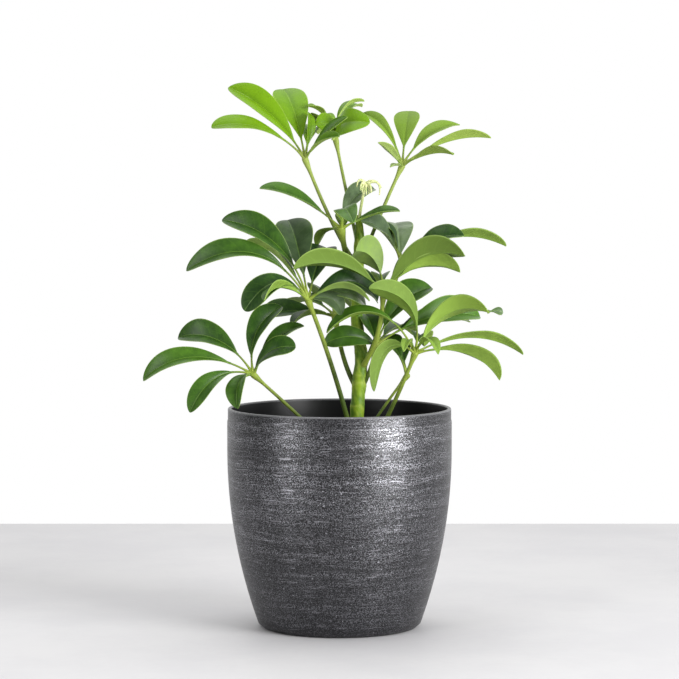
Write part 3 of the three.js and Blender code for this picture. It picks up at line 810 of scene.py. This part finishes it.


# a leaflet: right, back, up of its tip from the hub, its stalk's share of that way, width, bow, turn in
# degrees, curl, and the turn of its bow where that isn't half of its own; the changes go by its index
# a frond's bright, and a leaflet's in its changes, is partly the leaf's own tone and partly painted light
# and shade; the grey sheen in the changes is painted reflection
fronds = {
    "frond_01_top_left": {
        "young": True, "bright": 0.75, "joint": (12, 0, 224), "bend": (-4, 2, 246), "hub": (-21.5, 5, 292),
        "radii": (1.6, 1.2),
        "leaflets": [(-58, -8, 20, 0.3, 15, 9, 35, 1), (-48, 10, 45, 0.22, 19, 6, 42, 1),
                     (-14, 26, 46, 0.28, 22, 4, 10, 3), (26, -15, 26, 0.25, 7, 2, 60, 1),
                     (21, -27, 14, 0.2, 9, 3, 40, 1), (3, 8, 30, 0.28, 8, 3, 70, 2),
                     (8, 42, 18, 0.25, 16, 8, 0, 2)],
        "changes": {0: {"skew": 2.1, "fullness": 0.5, "trough": 0.35},
                    2: {"skew": 1.9, "fullness": 0.5, "trough": 0.25}, 3: {"bright": 0.1},
                    4: {"bright": 0.3}},
    },
    "frond_02_top_middle": {
        "young": True, "bright": 0.7, "joint": (12, 0, 236), "bend": (6, 9, 262), "hub": (-2.5, 20, 304.6),
        "radii": (1.4, 1.1),
        "leaflets": [(21, -28, 10, 0.1, 20, 8, 60, 1, 60), (-14, 12, 14, 0.3, 18, 4, 0, 3),
                     (18, 15, 25, 0.35, 7.5, 8, -10, 1), (17, 32, 22, 0.35, 6.5, 7, 5, 1),
                     (-17, -8, 21, 0.45, 7, 6, 0, 1, -30), (-12, -11, 9, 0.12, 15, 5, 60, 1)],
        "changes": {0: {"skew": 1.0, "fullness": 0.5, "trough": 0.12, "bright": 1}, 2: {"skew": 1.3},
                    4: {"bright": 0.2, "pale": 0.5}, 5: {"trough": 0.15, "bright": 1}},
    },
    "frond_03_top_right": {
        "young": True, "bright": 0.6, "joint": (12.3, 0, 224), "bend": (22.4, 7, 251.5),
        "hub": (39.3, 15, 287.8), "radii": (1.5, 1.2), "pale": 0.5,
        "leaflets": [(-26, 20, 35, 0.22, 8.5, 7, 30, 3), (-15, -10, 15, 0.2, 7, 1, -20, 1),
                     (-8, -28, -1, 0.2, 4, 1, 0, 0), (4, 18, 36, 0.35, 16.5, 1, 0, 3),
                     (36.5, 10, 26.5, 0.28, 12.5, 6, 28, 1), (55, -12, 18, 0.33, 10, 6, -25, 1),
                     (31, -30, 7.5, 0.25, 11, 3.5, -20, 1)],
        "changes": {0: {"skew": 1.8}, 1: {"skew": 1.1, "silverSheen": 0.5},
                    2: {"bright": 0, "silverSheen": 0.8, "skew": 1.1, "fullness": 1},
                    3: {"skew": 2.5, "fullness": 0.4, "trough": 0.12}, 4: {"skew": 1.2, "fullness": 0.9}},
    },
    "frond_04_upper_middle": {
        "bright": 0.55, "joint": (11.5, 0, 210), "bend": (4, -8, 228),
        "hub": (1, -12, 248.5), "radii": (2.2, 2),
        "leaflets": [(-50, -5, 26, 0.3, 14, 5, 28, 1), (21.5, 26, 26, 0.2, 14, 6, 25, 2, -20),
                     (36, -8, 12, 0.3, 9, 2.5, 25, 1), (7, -40, 6, 0.2, 14, 10, 20, 2),
                     (1, 20, 2, 0.2, 9, 6, 0, 2), (-16, 20, -10, 0.2, 8, 4, 0, 2)],
        "changes": {1: {"silverSheen": 0.6, "bright": 0.1}, 3: {"trough": 0.15, "skew": 1.3}},
    },
    "frond_05_middle_left": {
        "bright": 0.5, "joint": (11, 0, 106), "bend": (-1.5, -19, 160),
        "hub": (-19.2, -30, 205.5), "radii": (1.9, 1.5),
        "leaflets": [(-53, 5, 50, 0.33, 18, 13, 50, 2), (-75, -5, 19, 0.28, 17, 21, 42, 2),
                     (-39, -22, -5, 0.2, 17, 15, 40, 3), (-27, -42, 3, 0.2, 10, 8, -35, 2),
                     (22, 4, -9, 0.12, 14, 6, 50, 2), (-13, 28, 51, 0.3, 23, 4, 15, 4),
                     (11, 30, 35, 0.3, 20, 3, 10, 5), (44, 16, -1, 0.15, 22, 12, 42, 2),
                     (38, -18, 1, 0.2, 8, 8, -25, 1), (-38, 28, 37, 0.3, 15, 6, -20, 3),
                     (37, 19, -4, 0.25, 15, 7, 45, 2)],
        "changes": {2: {"skew": 2, "fullness": 0.5, "trough": 0.3, "bright": 0.2},
                    4: {"bright": 0, "trough": 0.2, "silverSheen": 0.6},
                    5: {"silverSheen": 0.3, "bright": 0.1, "skew": 1.8},
                    6: {"bright": 0.05}, 7: {"bright": 0.05, "skew": 1.9, "fullness": 0.5},
                    8: {"bright": 0.6, "silverSheen": 0.3}, 10: {"silverSheen": 0.8, "trough": 0.25}},
    },
    "frond_06_right_back": {
        "bright": 0.35, "joint": (13.5, 0, 158), "bend": (28.4, 8, 192.4),
        "hub": (38.5, 8, 227.5), "radii": (1.7, 1.4),
        "leaflets": [(-24, -22, 27, 0.3, 18, 4, 50, 2), (-11, -4, 26, 0.3, 12, 1, 30, 3),
                     (-3, 22, 27, 0.2, 20, 2, 0, 4), (39, -6, 18, 0.25, 18, 4, 32, 2),
                     (67, 16, 10.5, 0.34, 14, 10.5, -15, 1), (-1, 46, 9, 0.25, 17, 10, 0, 2)],
        "changes": {0: {"silverSheen": 0.4, "bright": 0.1}, 1: {"bright": 0.1},
                    2: {"silverSheen": 1, "skew": 2.1, "fullness": 0.45, "trough": 0.3}},
    },
    "frond_07_right_front": {
        # its petiole is painted lighter, as painted light where it stands in shade
        "bright": 0.6, "joint": (13.5, 0, 162), "bend": (25.5, -19, 177), "petiole": 1,
        "hub": (27, -22, 210), "radii": (1.8, 1.5),
        "leaflets": [(-56, -20, 17, 0.18, 17, 9, -40, 3, 10), (-19, -10, 27, 0.3, 20, 11, -60, 3),
                     (50, -22, 24, 0.12, 20, 11.5, -50, 2), (47, -10, 13.5, 0.3, 17, 10, -35, 1),
                     (-2, 34, 6, 0.25, 12, 6, 0, 2), (33, 22, 18, 0.25, 17, 8, 10, 2)],
        "changes": {0: {"bright": 0.12}, 1: {"bright": 0.4, "silverSheen": 0.5},
                    2: {"skew": 1.35, "fullness": 0.8, "bright": 0.12},
                    3: {"skew": 1.9, "fullness": 0.55, "bright": 0.55}},
    },
    "frond_08_low_right": {
        "bright": 0.55, "joint": (11, 0, 95), "bend": (32.9, -11, 135.3),
        "hub": (46.5, -20, 172.1), "radii": (1.8, 1.4),
        "leaflets": [(68, 10, 0, 0.22, 13, 10, -14, 1.5), (52.5, -20, -14, 0.2, 15, 9.5, -46, 2),
                     (46, -10, 28, 0.18, 16, 15, -48, 3, -40), (-29, -27, 42, 0.28, 14, 14, -50, 1, 25),
                     (-56, -4, 15, 0.35, 12, 18, 20, 3), (-27, -24, -21, 0.22, 12, 18, -75, 2, 12),
                     (-8, -34, 6, 0.3, 6, 6, 0, 3), (14, -32, 5, 0.25, 7.5, 7, 0, 4),
                     (7, 34, 4, 0.25, 14, 8, 0, 2), (10, 1, -0.5, 0.15, 6, 1, 50, 0.5)],
        "changes": {1: {"skew": 2.3, "fullness": 0.5}, 2: {"bright": 0.8}, 3: {"bright": 0.2},
                    5: {"trough": 0.2, "skew": 1.4, "bright": 0.15}, 6: {"pale": 0.7},
                    7: {"pale": 0.7},
                    9: {"from": (90.2, -30, 198.2), "skew": 2.2, "trough": 0.2, "silverSheen": 0.6}},
    },
    "frond_09_middle_low": {
        "bright": 0.35, "joint": (12.5, 0, 148), "bend": (20, -2, 158),
        "hub": (22.7, -8, 176.6), "radii": (1.6, 1.5),
        "leaflets": [(35, 16, 36, 0.25, 20, 8, 35, 1.5), (67, 24, 18, 0.3, 21, 8, 45, 3),
                     (61, 44, 13.5, 0.25, 18, 8, 35, 2), (-7, 14, 20, 0.2, 13, 2, 10, 2),
                     (-32, -8, 2, 0.1, 15, 5, 55, 2), (24, 40, 6, 0.25, 16, 6, 0, 2)],
        "changes": {0: {"bright": 0.5}, 1: {"bright": 0.75},
                    4: {"trough": 0.2, "skew": 1.4, "fullness": 0.5}},
    },
    "frond_10_left_back": {
        "bright": 0.3, "joint": (12.5, 0, 147), "bend": (2, 4, 160),
        "hub": (-2.8, 14, 193.4), "radii": (2, 1.5),
        "leaflets": [(-49, 8, 0, 0.25, 17, 3, 40, 2), (-28, -15, -4, 0.2, 14, 4, -5, 2),
                     (-12, 38, 13, 0.25, 19, 8, 0, 2), (6, 30, 15, 0.25, 15, 6, 0, 2),
                     (12, 40, 4, 0.25, 17, 9, 0, 2), (-33, 40, 0, 0.25, 17, 9, 10, 2)],
    },
    "frond_11_low_left": {
        "bright": 0.35, "joint": (11, 0, 96), "bend": (-20, -12, 129),
        "hub": (-53, -22, 159.1), "radii": (1.5, 1.2),
        "leaflets": [(-48, 8, 24, 0.3, 18, 10.5, 48, 3), (-70, -5, -1, 0.25, 15, 12.5, 42, 5),
                     (-38.5, -24, -21, 0.32, 13, 12, 38, 2), (-10, -22, -19, 0.15, 13, 8, -10, 2),
                     (17.5, 6, 43, 0.25, 15, 10, 40, 2), (31, 12, 31, 0.2, 11, 6, 30, 2),
                     (26, -10, 19, 0.15, 16, 6, 50, 2)],
        "changes": {1: {"bright": 0.62}, 3: {"bright": 0.5},
                    6: {"skew": 2, "fullness": 0.5, "trough": 0.25}},
    },
    "frond_12_low_back": {
        "bright": 0.4, "joint": (11.5, 0, 112), "bend": (26, 3, 136),
        "hub": (42.1, 0, 156.8), "radii": (1.2, 1),
        "leaflets": [(-15, 12, 25, 0.4, 15, 3, 10, 2), (-6, 28, 19, 0.35, 13, 3, 0, 2)],
    },
}


def makeFronds(table):
    finishes = {slot: leafFinish(look) for slot, look in leafLooks.items()}
    for name, one in table.items():
        slot = "young_leaf" if one.get("young") else "leaf"
        mesh = newPlantMesh()
        addPetiole(mesh, one, sheath["swell"], sheath["hub"], (0, one["bright"], 1, one.get("petiole", 0)))
        alike = {"bright": one["bright"], "pale": one.get("pale", 0)}
        for index, leaflet in enumerate(one["leaflets"]):
            dice = random.Random(f"{name} {index}")
            change = one.get("changes", {}).get(index, {})
            addLeaflet(mesh, Vector(change.get("from", one["hub"])), leaflet, alike, dice, change)
        first, *rest = name.split("_")
        piece = first + "".join(word.capitalize() for word in rest)
        addPiece(piece, mesh, finishes[slot], name, 70)
        print(piece, "made")


makeFronds(fronds)


bud = {
    "joint": (11, 0, 246), "bend": (13, -3, 262), "hub": (16, -14, 276.5), "radii": (1.3, 0.9),
    "threads": [(-5.3, -2, -2, 3.5), (-3, -4, -4, 2.5), (0.4, -5, -6.6, 2), (3.4, -4.5, -5.6, 2.5),
                (8.6, -2, -7, 5), (9.8, 3, -2.5, 3), (-1.5, 3, -5, 2.5), (-1.9, -4, -5.4, 1.8),
                (1.9, -3, -6.4, 2)],
    "thickness": (1.9, 0.75), "knob": 1.4, "ripple": 0.12, "sides": 10, "steps": 22,
    "greenFrom": 272, "greenFull": 262,
    "pale": shade(212, 214, 158), "green": shade(170, 184, 112), "tip": shade(192, 172, 108),
}


def budFinish(look):
    finish = Finish("paleBud")
    place = finish.objectPlace()
    spot = finish.node("ShaderNodeAttribute", {"attribute_name": "leafPlace"}, {}, "Vector")
    along, half = finish.parts(spot)[1:]
    mottle = finish.noise(place, 500, 3.0)
    colour = finish.blend(finish.step(mottle, 0.3, 0.7), look["pale"], look["green"])
    colour = finish.blend(finish.step(along, 0.8, 1.0) * finish.step(half, 0.2, 0.6), colour, look["tip"])
    low = finish.step(finish.parts(place)[2], look["greenFull"] * mm, look["greenFrom"] * mm, 1.0, 0.0)
    colour = finish.blend(low * 0.7, colour, look["green"])
    return finish.surface({
        "Base Color": colour, "Roughness": 0.5 + 0.2 * mottle, "Normal": finish.bump(mottle, 0.3, 0.1 * mm),
    })


def makeBud(look):
    mesh = newPlantMesh()
    addPetiole(mesh, look, 0, look["radii"][1] * look["knob"], (0, 0, 1, 0))
    root, tip = look["thickness"]

    def radiusAt(t, height):
        return (root + (tip - root) * t) / 2 * (1 + look["ripple"] * math.sin(9 * t))

    for right, back, up, bow in look["threads"]:
        curve = midrib(Vector(look["hub"]), (right, back, up), bow, 0)[0]
        sweepStalk(mesh, curve, radiusAt, look["sides"], look["steps"], (0, 0, 1, 0))
    addPiece("budTuft", mesh, budFinish(look), "bud", 70)


makeBud(bud)
print("bud made")


studio = {  # in metres
    "floor": shade(208, 207, 208), "floorPatch": shade(201, 200, 202),
    "floorBack": 0.49, "floorFront": -1.6, "floorSide": 2.2, "floorDepth": 0.03, "floorRound": 0.0015,
    "skyFront": 0.28, "skyBack": 1.0, "skySide": 0.3,
    "lamps": {  # place, size, watts
        "rightSoftbox": ((1.2, -1.0, 0.5), (0.9, 1.05), 38),
        "leftSoftbox": ((-1.15, -1.05, 0.5), (0.55, 1.05), 9),
        "overhead": ((-0.2, 0.1, 1.7), (1.4, 1.2), 12),
    },
    "aim": (0, 0, 0.16),  # of the lamps
    "eye": (0, -1.65, 0.28), "pitch": 3.485, "lens": 140.6,
}


def makeFloor(look):
    finish = Finish("paleStone")
    place = finish.objectPlace()
    patch = finish.noise(place, 7, 5.0, 0.6)
    grain = finish.noise(place, 220, 3.0)
    colour = finish.blend(finish.step(patch + 0.15 * grain, 0.42, 0.75), look["floor"], look["floorPatch"])
    material = finish.surface({
        "Base Color": colour, "Roughness": 0.55 + 0.1 * patch, "Normal": finish.bump(grain, 0.1, 0.2 * mm),
    })
    mesh = bmesh.new()
    back, front, depth = look["floorBack"], look["floorFront"], look["floorDepth"]
    size = Matrix.Diagonal((look["floorSide"], back - front, depth, 1))
    at = Matrix.Translation((0, (back + front) / 2, -depth / 2)) @ size
    bmesh.ops.create_cube(mesh, size=1, matrix=at)
    bmesh.ops.bevel(mesh, geom=mesh.edges[:], offset=look["floorRound"], segments=2, profile=0.5,
                    affect="EDGES", material=-1)
    data = bpy.data.meshes.new("floor")
    mesh.to_mesh(data)
    mesh.free()
    data.materials.append(material)
    floor = bpy.data.objects.new("floor", data)
    bpy.context.scene.collection.objects.link(floor)


def makeLight(look):
    world = bpy.data.worlds.new("studio")
    bpy.context.scene.world = world
    sky = Finish("studio", world)
    x, y, z = sky.parts(sky.node("ShaderNodeTexCoord", {}, {}, "Generated"))
    strength = sky.step(y + look["skySide"] * x, -0.25, 0.6, look["skyFront"], look["skyBack"])
    background = sky.node("ShaderNodeBackground", {}, {"Color": (1, 1, 1, 1), "Strength": strength})
    sky.node("ShaderNodeOutputWorld", {}, {"Surface": background})
    for name, (where, size, watts) in look["lamps"].items():
        lamp = bpy.data.lights.new(name, "AREA")
        lamp.shape = "RECTANGLE"
        lamp.size, lamp.size_y = size
        lamp.energy = watts
        box = bpy.data.objects.new(name, lamp)
        box.location = where
        aim = Vector(look["aim"]) - Vector(where)
        box.rotation_euler = aim.to_track_quat("-Z", "Y").to_euler()
        bpy.context.scene.collection.objects.link(box)


def makeCamera(look):
    lens = bpy.data.cameras.new("camera")
    lens.lens = look["lens"]
    lens.sensor_width = 36
    lens.sensor_fit = "HORIZONTAL"
    camera = bpy.data.objects.new("camera", lens)
    camera.location = look["eye"]
    camera.rotation_euler = (math.radians(90 - look["pitch"]), 0, 0)
    bpy.context.scene.collection.objects.link(camera)
    bpy.context.scene.camera = camera
    bpy.context.scene.view_settings.view_transform = "Standard"


makeFloor(studio)
makeLight(studio)
makeCamera(studio)
print("studio made")
